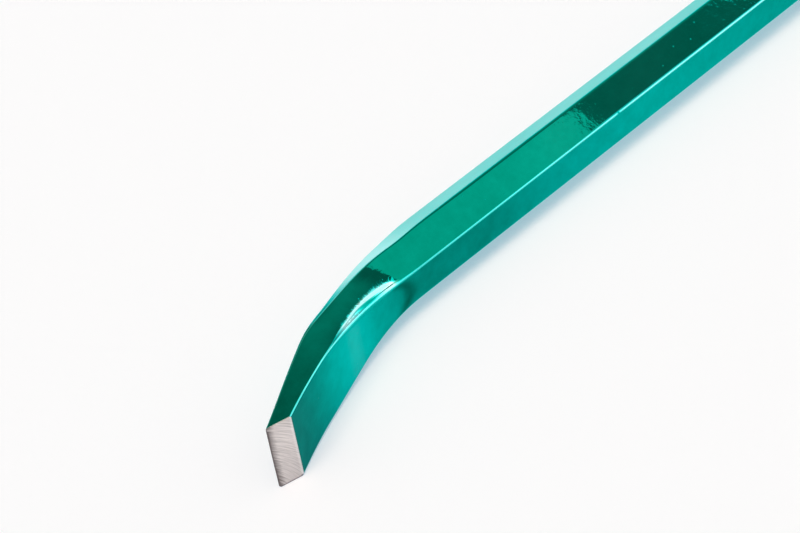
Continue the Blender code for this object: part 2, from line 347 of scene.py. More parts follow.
# Newton's steps in the searches below
search = {
    "steps": 12,
    "measure": 1e-6,             # over which the slope is measured
    "most": 0.002,
}


def profileColumns():
    # every column of the half profile: its stretch, how far along it, how deep between
    # the two faces, and how wide a band it keeps from the slot's rim
    eased = lambda steps: 0.5 - 0.5 * np.cos(np.pi * np.arange(steps + 1) / steps)
    even = lambda steps: np.arange(steps + 1) / steps
    rim = claw["rim"] * (1.0 - np.cos(0.5 * np.pi * even(grid["rimSteps"])))[:-1]
    flat = eased(grid["flatSteps"])
    faceT = np.concatenate([np.zeros(len(rim)), flat])
    faceRim = np.concatenate([rim, np.full(len(flat), claw["rim"])])
    corner, slope = even(grid["cornerSteps"]), eased(grid["slopeSteps"])
    low = grid["cornerDepth"]
    stretches = [
        (0, faceT, np.zeros(len(faceT)), faceRim),
        (1, corner, mix(0.0, low, corner), None),
        (2, slope, mix(low, 0.5 - low, slope), None),
        (3, corner, mix(0.5 - low, 0.5 + low, corner), None),
        (4, slope, mix(0.5 + low, 1.0 - low, slope), None),
        (5, corner, mix(1.0 - low, 1.0, corner), None),
        (6, faceT[::-1], np.ones(len(faceT)), faceRim[::-1]),
        (7, even(grid["wallSteps"]), 1.0 - even(grid["wallSteps"]), None),
    ]
    kinds, shares, depths, bands = [], [], [], []
    for kind, t, depth, band in stretches:
        first = 0 if kind in (0, 7) else 1      # a stretch starts where the last one ended
        kinds.append(np.full(len(t) - first, kind))
        shares.append(t[first:])
        depths.append(depth[first:])
        bands.append((np.zeros(len(t)) if band is None else band)[first:])
    return [np.concatenate(part) for part in (kinds, shares, depths, bands)]


kindOf, shareOf, depthOf, bandOf = profileColumns()


def bell(place, middle, reach):
    # exp(-((place - middle) / reach)^2)
    return np.exp(-(((place - middle) / reach) ** 2))


def rising(run, stretch):
    # an eased rise from 0 to 1 over a stretch of the run
    return ease((run - stretch[0]) / (stretch[1] - stretch[0]))


def ridgeRadius(place):
    # the side corners get keener as they near the bend
    keen = chisel["ridgeKeen"] * rising(place - shankLength, chisel["ridgeKeenRun"])
    return bar["cornerRadius"] * (1.0 - keen)


def rollRadius(place, lower=False):
    # the upper front corner is rolled wider by a bell curve round the bend, and both get
    # keener by a rise along the blade
    run = place - shankLength
    if lower:
        return bar["cornerRadius"] * (1.0 - chisel["keen"] * rising(run, chisel["keenRun"]))
    rolled = 1.0 + chisel["rollGain"] * bell(run, chisel["rollRun"], chisel["rollReach"])
    return bar["cornerRadius"] * rolled * (1.0 - chisel["rollKeen"] * rising(run, chisel["rollKeenRun"]))


def roundCorner(corner, before, after, radius):
    # an arc that touches both sides: the cut is r / tan(half the angle), and a rational
    # curve of weight sin(half the angle) goes through it
    a, b = before - corner, after - corner
    lengthA = np.linalg.norm(a, axis=-1)
    lengthB = np.linalg.norm(b, axis=-1)
    a, b = a / lengthA[..., None], b / lengthB[..., None]
    halfAngle = np.arccos(np.clip((a * b).sum(-1), -1.0, 1.0)) / 2.0
    cut = np.maximum(radius / np.tan(halfAngle), bar["leastCornerCut"])
    cut = np.minimum(cut, bar["mostCornerShare"] * np.minimum(lengthA, lengthB))[..., None]
    return corner + a * cut, corner + b * cut, np.sin(halfAngle)[..., None]


def raised(spot, height):
    # a point of the plan lifted to a height
    return np.concatenate([spot, height[..., None]], -1)


def skin(place, lower=False):
    # half of the bar's surface, with z above the middle even for the lower half: place has
    # one column for each profile column, and each stretch is worked out as one array
    points = np.zeros(place.shape + (3,))
    for kind in range(kindOf[-1] + 1):
        columns = np.flatnonzero(kindOf == kind)
        here = place[:, columns]
        t = shareOf[columns][None, :, None]
        (plus, side, minus), (halfPlus, halfSide, halfMinus) = section(here, lower)
        nearSlot = here < claw["slotDepth"] + grid["slotMargin"] - hookLength
        if kind == 7:
            points[:, columns] = slotWall(plus, minus, 1.0 - t)
            continue
        first, second, third = raised(plus, halfPlus), raised(side, halfSide), raised(minus, halfMinus)
        firstCorner = roundCorner(first, raised(plus, -halfPlus), second, rollRadius(here, lower))
        secondCorner = roundCorner(second, first, third, ridgeRadius(here))
        thirdCorner = roundCorner(third, second, raised(minus, -halfMinus), bar["cornerRadius"])
        if kind in (0, 6):
            face, corner = (plus, firstCorner[0]) if kind == 0 else (minus, thirdCorner[1])
            points[:, columns] = flatFace(face, corner, columns, nearSlot, 1.0 if kind == 0 else -1.0)
        elif kind in (1, 3, 5):
            middle = (first, second, third)[(kind - 1) // 2]
            start, end, weight = (firstCorner, secondCorner, thirdCorner)[(kind - 1) // 2]
            blend = ((1.0 - t) ** 2, 2.0 * weight * t * (1.0 - t), t ** 2)
            points[:, columns] = (start * blend[0] + middle * blend[1] + end * blend[2]) / sum(blend)
        else:
            start, end = (firstCorner[1], secondCorner[0]) if kind == 2 else (secondCorner[1], thirdCorner[0])
            points[:, columns] = mix(start, end, t)
    return points


def flatFace(face, corner, columns, nearSlot, side):
    # from the middle or the slot's rim out to the corner; within the rim's radius of the
    # slot a point sinks by r (1 - sqrt(1 - (1 - d / r)^2))
    along, depth = slotPlace(face + slotInward * side * claw["rim"])
    half = np.where(nearSlot, slotHalf(along, depth), 0.0)
    band, share = bandOf[columns][None, :], shareOf[columns][None, :]
    reach = corner[..., 2] - half
    across = half + np.minimum(band, reach) + np.maximum(reach - claw["rim"], 0.0) * share
    distance = np.where(nearSlot, slotDistance(along, depth, across), 1.0)
    close = np.clip(1.0 - distance / claw["rim"], 0.0, 1.0)
    sink = claw["rim"] * (1.0 - np.sqrt(1.0 - close ** 2))
    return raised(face + slotInward * (side * sink)[..., None], across)


def wallSpot(plus, minus, depth):
    # between the outer face and the inner one, each a rim's radius in
    sunk = slotInward * claw["rim"]
    return mix(plus + sunk, minus - sunk, depth)


def slotWall(plus, minus, depth):
    # straight from the inner face's rim to the outer face's, at the slot's half width
    spot = wallSpot(plus, minus, depth)
    return raised(spot, slotHalf(*slotPlace(spot)))


def solve(place, height):
    # Newton's steps with a measured slope, towards where height is nought
    for _ in range(search["steps"]):
        now = height(place)
        slope = (height(place + search["measure"]) - now) / search["measure"]
        place = place - np.clip(now / slope, -search["most"], search["most"])
    return place


# ---- the ground ends

def groundPlane(edge, behind, angle):
    # through the edge, turned by the grinding angle from the face that ends there
    along = edge - behind
    heading = math.atan2(along[1], along[0]) - angle
    return edge, np.array([-math.sin(heading), math.cos(heading)])


edgeRuns = np.array([chiselLength, chiselLength - grid["endStretch"]])
chiselPlane = groundPlane(*(chiselFaces(edgeRuns)[1] + np.array([chiselStart, 0.0])), chisel["grindAngle"])
chiselGuess = shankLength + chiselLength - grid["endStretch"]
tipRuns = np.array([hookLength, hookLength - grid["endStretch"]])
clawPlane = groundPlane(*(hookFaces(tipRuns)[0] + np.array([hookStart, 0.0])), claw["grindAngle"])
clawGuess = grid["endStretch"] - hookLength


def endPlaces(plane, guess, depth, lower=False):
    # for each column, the place where the skin meets the plane sunk by a depth
    spot, normal = plane
    above = lambda place: (skin(place, lower)[..., :2] - spot) @ normal + depth
    return solve(np.full((1, len(kindOf)), guess), above)


def corePlaces(guess, height):
    # for each column, a place where a height over the slot's own axes is nought
    def value(place):
        (plus, _, minus), _ = section(place)
        return height(*slotPlace(wallSpot(plus, minus, depthOf[None, :, None])))
    return solve(np.full((1, len(kindOf)), guess), value)


def slotEnd(turn):
    # the places where the slot's rounded end has turned by an angle from its tip
    def value(along, depth):
        root = claw["slotRoot"] + depth * math.tan(claw["slotBevel"])
        return along - slotMiddle + root * math.cos(turn)
    return corePlaces(claw["slotDepth"] - hookLength, value)


def between(first, last, steps, shares=None):
    # rows of places from first up to last, without the first row
    shares = np.arange(1, steps + 1) / steps if shares is None else shares
    return first + (last - first) * shares[:, None]


def stationRows(depth, lower):
    # every row of places along the bar, from the claw's tips to the chisel's edge, and
    # the number of the row at the slot's root
    clawEnd = endPlaces(clawPlane, clawGuess, depth, lower)
    chiselEnd = endPlaces(chiselPlane, chiselGuess, depth, lower)
    turns = [slotEnd(0.5 * math.pi * (1.0 - n / grid["rootSteps"])) for n in range(grid["rootSteps"] + 1)]
    rimTurns = 0.5 * np.pi * np.arange(1, grid["rimRows"] + 1) / grid["rimRows"]
    rimRows = claw["rim"] * (1.0 - np.cos(rimTurns))
    level = lambda place: np.full((1, len(kindOf)), place)
    whole = level(claw["slotDepth"] + grid["levelAfter"] - hookLength)
    count = lambda length, step: max(2, int(math.ceil(length / step)))
    clawSteps = count(claw["slotDepth"], grid["clawStep"])
    tipShares = (np.arange(1, clawSteps + 1) / clawSteps) ** grid["crowding"]
    rows = [clawEnd, between(clawEnd, turns[0], clawSteps, tipShares)]
    rows += turns[1:]
    apexRow = 1 + clawSteps + grid["rootSteps"] - 1
    rows.append(turns[-1] + rimRows[:, None])
    rows.append(between(rows[-1][-1:], whole, count(grid["levelAfter"], grid["clawStep"])))
    rows.append(between(whole, level(0.0), count(-whole[0, 0], grid["hookStep"])))
    nick = shankLength + lacquer["nickRun"]
    rows.append(between(level(0.0), level(nick - grid["nickStep"]), count(nick, grid["shankStep"])))
    rows += [level(nick), level(nick + grid["nickStep"])]
    rows.append(between(rows[-1], level(shankLength), count(shankLength - nick, grid["shankStep"])))
    bladeStart = shankLength + heel
    rows.append(between(level(shankLength), level(bladeStart), count(heel, grid["chiselStep"])))
    bladeSteps = count(chisel["bladeLength"], grid["chiselStep"])
    edgeShares = 1.0 - (1.0 - np.arange(1, bladeSteps + 1) / bladeSteps) ** grid["crowding"]
    rows.append(between(level(bladeStart), chiselEnd, bladeSteps, edgeShares))
    return np.concatenate(rows), apexRow


def placed(points):
    # from the shank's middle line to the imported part's frame
    return points + np.array([0.0, bar["axisY"], bar["axisZ"]])


def bothHalves(upper, lower, faces):
    # the lower half has z turned over and its faces the other way round
    flipped = lower.reshape(-1, 3) * np.array([1.0, 1.0, -1.0])
    points = np.concatenate([upper.reshape(-1, 3), flipped])
    return placed(points), faces + [face[::-1] for face in shifted(faces, len(flipped))]


def shifted(faces, count):
    # the same faces for a second set of points
    return [tuple(corner + count for corner in face) for face in faces]


def gridFaces(columns, keep):
    # four corners for each cell of a grid, where keep says so
    row, column = np.nonzero(keep)
    corner = row * columns + column
    return np.stack([corner, corner + 1, corner + columns + 1, corner + columns], -1).tolist()


ground = {
    "lacquerEnd": 0.00030,       # how far below the ground face the lacquer stops
    "softness": 0.00012,         # size of the worn edge round a ground face
    "roundShares": (1 / 3, 2 / 3),            # rings over that edge,
    "flatShares": (0.0, 0.04, 0.12, 0.3),     # and from there in across the flat
    "brightSide": -0.3,          # painted edge shade below nought is a painted highlight instead
    "edgeShadeFade": (1.0, 1.0, 1.0, 1.0, 1.0, 0.6, 0.0, 0.0),   # ring by ring
}

noiseRoughness = 0.6

lacquer = {
    "metal": (0.001, 0.45, 0.40),    # bright steel seen through a plain coat
    "roughness": 0.035,
    "edgeTint": (0.50, 1.0, 1.0),
    "glossFrom": 1.02,               # the clear gloss shows where the colour is thinner than this
    "glossTo": 0.50,
    "glossRoughness": 0.03,
    "peelScale": 330.0,              # orange peel, in bumps to the metre
    "peelHeight": 0.000024,
    "peelDetail": 3.0,
    "dustScale": 250.0,              # grains of dust under the coat, by cells to the metre
    "dustRadius": 0.00028,
    "dustHeight": 2.0,               # as a multiple of the peel's height
    "lineHighlight": 0.91,                # painted highlight: how much of the coat is taken off the upper front corner, so it shows bright
    "lineReach": (0.00030, 0.00017),   # half that line's width, far from the bend and near
    "lineRun": (-0.140, -0.010),
    "lineBeside": 0.8,               # painted shade: more coat below it on the blade, so darker
    "lineBesideRun": (0.048, 0.062),
    "lineAt": 0.42,                  # where it runs between the side and the slope
    "nickRun": -0.0743,              # a nick in that line
    "nickReach": 0.0004,
    "nickFill": 1.8,                 # how far it fills up, where 1 is as thick as beside the line
    "backHighlight": 0.72,                # a painted highlight the same way for the ridge and the corner behind it,
    "backReach": 0.00050,
    "backRun": (0.010, 0.035),       # which get it only beyond this
    "wedge": 2.2,                    # painted shade: a dark wedge of thick coat beside the line on the outside of the bend
    "wedgeAt": 0.78,
    "wedgeWidth": 0.16,
    "wedgeRun": 0.0325,
    "wedgeReach": 0.0043,
    "farSlope": 0.72,                # painted light: the thinner coat of the slope behind the ridge
    "farAway": 0.10,                 # painted shade: a little more on it towards the hook
    "farAwayRun": (-0.060, -0.160),
    "farBend": -0.42,                # painted light: thinner on it in the bend
    "farBendRun": 0.018,
    "farBendReach": 0.012,
    "farBlade": 0.6,                 # and painted shade: thicker on what is left of it beyond
    "farBladeRun": (0.028, 0.045),
    "towardsBend": 0.16,             # painted shade: a little more on the slopes towards the bend
    "towardsRun": (-0.060, 0.010),
    "towardsEdge": 0.45,                    # painted shade: how much more coat there is on the slopes at the chisel's edge
    "towardsEdgeRun": (0.045, 0.085),       # from the chisel's start
    "paintedLight": 0.11,                    # painted highlight: what is left of the coat on a thin patch beside the wedge
    "highlightRun": (0.0203, 0.0458),
    "highlightWidth": 0.766,              # its border is this times t^rise (1 - t)^fall
    "highlightRise": 0.55,
    "highlightFall": 1.05,
    "highlightSoft": 0.09,
    "rollHighlight": (0.35, 0.55),        # it goes on over this much of the rolled corner,
    "rollRun": (0.0185, 0.0215),     # from here
    "rollEnd": (0.0445, 0.0515),     # to there
    "mottle": 0.08,                  # unevenness in patches
    "mottleScale": 210.0,
    "mottleDetail": 4.0,
    "mottleRange": (0.3, 0.7),       # heights of the noise that give the least and most
    "unevenness": 0.02,              # and in slow waves
    "waves": ((61.0, 1.3), (143.0, 4.0)),   # radians to the metre along the bar, and across it
}

# the coat on the upright sides, by the run from the chisel's start: painted light and painted shade along the
# bar
sides = {
    "plain": 1.28,
    "away": 0.22,                    # painted shade: a little more towards the hook
    "awayRun": (-0.090, -0.190),
    "towardsBend": 0.65,
    "bendRun": (-0.068, 0.004),
    "hollowShade": 0.95,                    # painted shade: a dark band of thick coat in the hollow of the bend
    "hollowShadeRun": 0.0163,
    "hollowShadeReach": 0.0022,
    "hollowShadeBow": 0.004,                # how far it bows along the bar from the middle to a corner
    "beyondHollowShade": -0.30,
    "beyondRun": (0.0163, 0.0223),
    "swell": -0.64,                  # painted light: thin on the swell of the chisel
    "swellRun": 0.043,
    "swellReach": 0.015,
    "edge": 1.3,                     # painted shade: thick towards the cutting edge
    "edgeRun": (0.055, 0.084),
}


def sideCoatWithPaintedLight(run):
    # the plain coat and each change in turn, painted light and painted shade, all added up
    coat = sides["plain"] + sides["towardsBend"] * rising(run, sides["bendRun"])
    coat = coat + sides["away"] * rising(run, sides["awayRun"])
    hollowShadeMiddle = sides["hollowShadeRun"] + sides["hollowShadeBow"] * shareOf ** 2
    coat = coat + sides["hollowShade"] * bell(run, hollowShadeMiddle, sides["hollowShadeReach"])
    coat = coat + sides["beyondHollowShade"] * rising(run, sides["beyondRun"])
    coat = coat + sides["swell"] * bell(run, sides["swellRun"], sides["swellReach"])
    return coat + sides["edge"] * rising(run, sides["edgeRun"])


def coatWithPaintedLight(places):
    # the coat, with painted light and painted shade in it: 1 is a plain coat, with eased rises
    # of painted shade towards the bend and the edge. The slope behind the ridge has a bell curve
    # less, of painted light, and two other rises in place of the first, the upright sides have a coat of
    # their own, and two slow waves run all over
    run = places - shankLength
    far = lacquer["farSlope"] + lacquer["farBend"] * bell(run, lacquer["farBendRun"], lacquer["farBendReach"])
    far = far + lacquer["farBlade"] * rising(run, lacquer["farBladeRun"])
    far = far + lacquer["farAway"] * rising(run, lacquer["farAwayRun"])
    near = 1.0 + lacquer["towardsBend"] * rising(run, lacquer["towardsRun"])
    slopes = np.where(kindOf == 4, far, near) + lacquer["towardsEdge"] * rising(run, lacquer["towardsEdgeRun"])
    waves = sum(np.sin(places * along + across * depthOf) for along, across in lacquer["waves"])
    return np.where(np.isin(kindOf, (0, 6)), sideCoatWithPaintedLight(run), slopes) + lacquer["unevenness"] * waves


def upperCoatWithPaintedLight(places):
    # the upper half's coat: a thin patch of painted highlight with the border w t^a (1 - t)^b on the
    # slope, a wedge of painted shade of two bell curves on the corner, and painted highlights of bell
    # curves across the corners, the front one with a nick
    run = places - shankLength
    coat = coatWithPaintedLight(places)
    t = np.clip((run - lacquer["highlightRun"][0]) / (lacquer["highlightRun"][1] - lacquer["highlightRun"][0]), 0.0, 1.0)
    border = lacquer["highlightWidth"] * t ** lacquer["highlightRise"] * (1.0 - t) ** lacquer["highlightFall"]
    patch = np.where(kindOf == 2, ease((border - shareOf) / lacquer["highlightSoft"]), 0.0)
    roll = rising(shareOf, lacquer["rollHighlight"]) * rising(run, lacquer["rollRun"])
    roll = roll * (1.0 - rising(run, lacquer["rollEnd"]))
    coat = mix(coat, lacquer["paintedLight"], np.where(kindOf == 1, roll, patch))
    wedge = bell(shareOf, lacquer["wedgeAt"], lacquer["wedgeWidth"])
    wedge = wedge * bell(run, lacquer["wedgeRun"], lacquer["wedgeReach"])
    beside = lacquer["lineBeside"] * rising(run, lacquer["lineBesideRun"]) * (shareOf < lacquer["lineAt"])
    coat = coat + np.where(kindOf == 1, lacquer["wedge"] * wedge + beside, 0.0)
    arc = cornerTurn * (shareOf - np.where(kindOf == 1, lacquer["lineAt"], 0.5))
    reach = mix(*lacquer["lineReach"], rising(run, lacquer["lineRun"]))
    frontLine = lacquer["lineHighlight"] * bell(arc * rollRadius(places), 0.0, reach)
    frontLine = frontLine * (1.0 - lacquer["nickFill"] * bell(run, lacquer["nickRun"], lacquer["nickReach"]))
    backLine = lacquer["backHighlight"] * bell(arc * bar["cornerRadius"], 0.0, lacquer["backReach"])
    backLine = backLine * rising(run, lacquer["backRun"])
    return coat * (1.0 - np.where(kindOf == 1, frontLine, np.where(np.isin(kindOf, (3, 5)), backLine, 0.0)))


def lacqueredBar(material, collection):
    # the skin from the claw to the chisel, as far as the lacquer goes
    wall = np.flatnonzero(kindOf == 7)
    halves = []
    for lower in (False, True):
        places, apexRow = stationRows(ground["lacquerEnd"], lower)
        points = skin(places, lower)
        points[apexRow, np.append(wall, 0), 2] = 0.0
        points[apexRow, wall[0] - 1, 2] = 0.0
        halves.append((points, (coatWithPaintedLight if lower else upperCoatWithPaintedLight)(places).ravel()))
    rows, columns = places.shape
    keep = np.ones((rows - 1, columns - 1), bool)
    keep[:, wall[0] - 1] = False                # the rim and the wall share their points
    keep[apexRow:, wall[0]:] = False            # no wall where there is no slot
    points, faces = bothHalves(halves[0][0], halves[1][0], gridFaces(columns, keep))
    # the coat values, with painted light and painted shade in them, go on the points as a layer
    coatAndPaintedLight = np.concatenate([halves[0][1], halves[1][1]])
    return meshFrom("lacqueredBar", points, faces, material, collection, {"coatAndPaintedLight": coatAndPaintedLight})


def groundRings(plane, guess, hasWall, lower):
    # rings from the skin up to the soft edge, over a small round and in across the flat
    spot, normal = plane
    columns = np.arange(len(kindOf)) if hasWall else np.flatnonzero(kindOf != 7)
    skinAt = lambda depth: skin(endPlaces(plane, guess, depth, lower), lower)[0, columns]
    base, low, rim = skinAt(ground["lacquerEnd"]), skinAt(ground["softness"]), skinAt(0.0)
    across = np.array([-normal[1], normal[0]])
    reach = (rim[:, :2] - spot) @ across
    middle = (reach.min() + reach.max()) / 2.0
    radius = abs(reach.max() - reach.min()) / 2.0
    inside = rim[:, 2].min() + (radius if hasWall else 0.0)
    height = np.clip(rim[:, 2], inside, rim[:, 2].max() - radius)
    spine = raised(spot + across * np.full(len(rim), middle)[:, None], height)
    inward = spine - rim
    inward /= np.linalg.norm(inward, axis=1)[:, None]
    flat = rim + inward * np.linalg.norm(rim - low, axis=1)[:, None]
    rings = [base, low]
    rings += [low * (1 - t) ** 2 + rim * 2 * t * (1 - t) + flat * t ** 2 for t in ground["roundShares"]]
    rings += [mix(flat, spine, share) for share in ground["flatShares"]]
    # how much painted edge shade each point gets: full along the cutting edge, and on the lower
    # half along the slopes too; the other long side gets a painted highlight instead
    kind = kindOf[columns]
    edgeShadeAndHighlight = np.where((kind == 6) | ((kind > 0) & lower), 1.0, 0.0)
    edgeShadeAndHighlight = np.where(kind == 0, ground["brightSide"], edgeShadeAndHighlight)
    return np.stack(rings), edgeShadeAndHighlight * np.array(ground["edgeShadeFade"])[:, None]


def groundFace(name, plane, guess, hasWall, material, collection):
    # a sliver of bare steel
    upper, lower = [groundRings(plane, guess, hasWall, half) for half in (False, True)]
    rows, count = upper[0].shape[:2]
    keep = np.ones((rows - 1, count - 1), bool)
    if hasWall:
        keep[:, np.flatnonzero(kindOf == 7)[0] - 1] = False
    points, faces = bothHalves(upper[0], lower[0], gridFaces(count, keep))
    edgeShadeAndHighlight = np.concatenate([upper[1].ravel(), lower[1].ravel()])
    piece = meshFrom(name, points, faces, material, collection, {"edgeShadeAndHighlight": edgeShadeAndHighlight})
    return mapped(piece, plane[0], np.array([-plane[1][1], plane[1][0]]))


perMetre = 1000.0                # millimetres


def mapped(piece, spot, across):
    # a flat map in millimetres: u lies along the ground face, square to the edge, and v
    # along the edge
    mesh = piece.data
    places = np.empty(len(mesh.vertices) * 3)
    mesh.vertices.foreach_get("co", places)
    places = places.reshape(-1, 3)
    corners = np.empty(len(mesh.loops), int)
    mesh.loops.foreach_get("vertex_index", corners)
    flat = np.stack([(places[:, :2] - spot - [0.0, bar["axisY"]]) @ across, places[:, 2]], 1)
    mesh.uv_layers.new(name="ground").data.foreach_set("uv", (flat[corners] * perMetre).ravel())
    return piece


# ---- finishes

steel = {
    "light": (0.765, 0.705, 0.69),
    "dark": (0.50, 0.46, 0.45),
    "paintedLowShade": (0.39, 0.37, 0.375),      # painted shade: what the lower part darkens to
    "shadeBelow": 17.0,               # millimetres along the edge
    "shadeDepth": 0.60,
    "shades": (0.36, 0.62),          # between which heights of the noise they lie
    "paintedEdgeShade": (0.13, 0.11, 0.11),     # painted shade along the edges
    "edgeShadeShare": 0.95,
    # painted highlight on one long side of a ground face
    "bright": (0.95, 0.93, 0.92),
    "rim": (0.14, 0.12, 0.12),       # painted shade beside the cutting edge
    "rimWidth": 2.3,                 # millimetres
    "rimRagged": 4.0,
    "roughness": 0.36,
    "wheelAt": (-18.0, -9.0),        # middle of the arcs that the grinding wheel left
    "lineLength": 0.2,               # in bumps to the millimetre, along an arc
    "lineWidth": 3.4,                # and across it
    "lineDetail": 4.0,
    "lineHeight": 0.00002,
}


def fill(tree, node, inputs):
    # each input gets a value, or a link where it is given another node's output
    for name, value in inputs.items():
        socket = node.inputs[name]
        if isinstance(value, bpy.types.NodeSocket):
            tree.links.new(value, socket)
        else:
            socket.default_value = value + (1.0,) if socket.type == "RGBA" else value


def addNode(tree, kind, inputs=(), **settings):
    node = tree.nodes.new("ShaderNode" + kind)
    for name, value in settings.items():
        setattr(node, name, value)
    fill(tree, node, dict(inputs))
    return node


def number(tree, operation, *values):
    return addNode(tree, "Math", enumerate(values), operation=operation).outputs[0]


def ranged(tree, value, start, end, low=0.0, high=1.0, kind="LINEAR"):
    # from low to high as the value goes from start to end
    inputs = {"Value": value, "From Min": start, "From Max": end, "To Min": low, "To Max": high}
    return addNode(tree, "MapRange", inputs, interpolation_type=kind).outputs["Result"]


def laid(tree, factor, under, over, label=""):
    # one colour laid over another by a factor
    inputs = {"Factor": factor, 6: under, 7: over}
    return addNode(tree, "Mix", inputs, data_type="RGBA", label=label).outputs[2]


def noise(tree, where, scale, detail):
    inputs = {"Vector": where, "Scale": scale, "Detail": detail, "Roughness": noiseRoughness}
    return addNode(tree, "TexNoise", inputs).outputs["Fac"]


def bumped(tree, height, distance):
    return addNode(tree, "Bump", {"Height": height, "Distance": distance}).outputs["Normal"]


def newMaterial(name):
    # a material with its node tree and shader
    material = bpy.data.materials.new(name)
    material.use_nodes = True
    return material, material.node_tree, material.node_tree.nodes["Principled BSDF"]


def greenLacquer():
    # bright steel under green: each channel is the plain coat's value to the power of the coat
    # layer, which carries painted light and painted shade, under a thin topcoat with fine orange peel and
    # grains of dust
    material, tree, shader = newMaterial("greenLacquer")
    coatAndPaintedLight = addNode(tree, "Attribute", attribute_name="coatAndPaintedLight").outputs["Fac"]
    where = addNode(tree, "TexCoord").outputs["Object"]
    patches = noise(tree, where, lacquer["mottleScale"], lacquer["mottleDetail"])
    least, most = 1.0 - lacquer["mottle"], 1.0 + lacquer["mottle"]
    share = ranged(tree, patches, *lacquer["mottleRange"], least, most)
    uneven = number(tree, "MULTIPLY", coatAndPaintedLight, share)
    channels = [number(tree, "POWER", metal, uneven) for metal in lacquer["metal"]]
    colour = addNode(tree, "CombineColor", enumerate(channels)).outputs[0]
    peel = noise(tree, where, lacquer["peelScale"], lacquer["peelDetail"])
    grains = addNode(tree, "TexVoronoi", {"Vector": where, "Scale": lacquer["dustScale"]}).outputs["Distance"]
    grainReach = lacquer["dustRadius"] * lacquer["dustScale"]
    grain = ranged(tree, grains, 0.0, grainReach, lacquer["dustHeight"], 0.0, "SMOOTHSTEP")
    fill(tree, shader, {
        "Base Color": colour,
        "Normal": bumped(tree, number(tree, "ADD", peel, grain), lacquer["peelHeight"]),
        "Metallic": 1.0,
        "Roughness": lacquer["roughness"],
        "Specular Tint": lacquer["edgeTint"],
        "Coat Weight": ranged(tree, coatAndPaintedLight, lacquer["glossFrom"], lacquer["glossTo"]),
        "Coat Roughness": lacquer["glossRoughness"],
    })
    return material


def groundSteel():
    # bare steel: noise drawn out along arcs round the wheel's middle, in colour and height, with painted
    # shade towards the low end, beside the cutting edge and along the edges, and a painted highlight on one
    # long side
    material, tree, shader = newMaterial("groundSteel")
    place = addNode(tree, "UVMap", uv_map="ground").outputs["UV"]
    x, y, _ = addNode(tree, "SeparateXYZ", {0: place}).outputs
    across = number(tree, "SUBTRACT", x, steel["wheelAt"][0])
    along = number(tree, "SUBTRACT", y, steel["wheelAt"][1])
    squares = [number(tree, "MULTIPLY", value, value) for value in (across, along)]
    radius = number(tree, "SQRT", number(tree, "ADD", *squares))
    perTurn = math.hypot(*steel["wheelAt"]) * steel["lineLength"]
    turn = number(tree, "MULTIPLY", number(tree, "ARCTAN2", along, across), perTurn)
    drawn = {"X": number(tree, "MULTIPLY", radius, steel["lineWidth"]), "Y": turn}
    lines = noise(tree, addNode(tree, "CombineXYZ", drawn).outputs[0], 1.0, steel["lineDetail"])
    shades = addNode(tree, "ValToRGB", {"Fac": lines})
    for element, position, shade in zip(shades.color_ramp.elements, steel["shades"], ("dark", "light")):
        element.position = position
        element.color = steel[shade] + (1.0,)
    # painted shade beside the cutting edge, with a ragged border
    ragged = number(tree, "MULTIPLY", number(tree, "SUBTRACT", lines, 0.5), steel["rimRagged"])
    paintedRimShade = number(tree, "DIVIDE", number(tree, "ADD", x, ragged), steel["rimWidth"])
    paintedRimShade = number(tree, "MINIMUM", number(tree, "MAXIMUM", paintedRimShade, 0.0), 1.0)
    # painted shade along the edges, and a painted highlight on one long side, from the layer
    edgeShadeAndHighlight = addNode(tree, "Attribute", attribute_name="edgeShadeAndHighlight").outputs["Fac"]
    paintedEdgeShade = number(tree, "MULTIPLY", number(tree, "MAXIMUM", edgeShadeAndHighlight, 0.0), steel["edgeShadeShare"])
    bright = number(tree, "MAXIMUM", number(tree, "MULTIPLY", edgeShadeAndHighlight, -1.0), 0.0)
    # painted shade towards the low end along the edge
    paintedLowShade = number(tree, "DIVIDE", number(tree, "SUBTRACT", steel["shadeBelow"], y), steel["shadeBelow"])
    paintedLowShade = number(tree, "MULTIPLY", number(tree, "MAXIMUM", paintedLowShade, 0.0), steel["shadeDepth"])
    paintedLight = laid(tree, paintedLowShade, shades.outputs["Color"], steel["paintedLowShade"])
    paintedLight = laid(tree, number(tree, "SUBTRACT", 1.0, paintedRimShade), paintedLight, steel["rim"])
    paintedLight = laid(tree, paintedEdgeShade, paintedLight, steel["paintedEdgeShade"])
    fill(tree, shader, {
        "Base Color": laid(tree, bright, paintedLight, steel["bright"]),
        "Normal": bumped(tree, lines, steel["lineHeight"]),
        "Metallic": 1.0,
        "Roughness": steel["roughness"],
    })
    return material


# ---- building

collection = bpy.data.collections.new("crowbar")
bpy.context.scene.collection.children.link(collection)
lacquerFinish = greenLacquer()
steelFinish = groundSteel()

barPiece = lacqueredBar(lacquerFinish, collection)
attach(barPiece, "root")
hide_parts("forged_bar")
print("lacquered bar:", len(barPiece.data.polygons), "faces")

groundPieces = [
    groundFace("groundChiselEdge", chiselPlane, chiselGuess, False, steelFinish, collection),
    groundFace("groundClawTips", clawPlane, clawGuess, True, steelFinish, collection),
]
for piece in groundPieces:
    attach(piece, "root")
    print(piece.name + ":", len(piece.data.polygons), "faces")


# ---- the set

studio = {
    "floorSize": 60.0,
    "floorColour": (0.70, 0.62, 0.50),
    "floorShine": (0.310, 0.385, 0.497),   # what it adds where it is seen, reflected or seen through
    "floorRise": 0.0036,                   # the chisel's side lies this much above the claw's
    "floorRiseFrom": -0.2305,
    "floorRiseTo": 0.300,
    "floorGap": 0.00002,                   # between the floor and the bar
    "tent": (0.31, 0.38, 0.38),            # soft light from all round
    "lampLight": (8.4, 7.43, 7.43),        # and from a round lamp nearly overhead
    "lampTowards": (0.40, 0.18, 0.90),
    "lampRadius": 17.0,                    # degrees
    "lampSoft": 15.0,
}

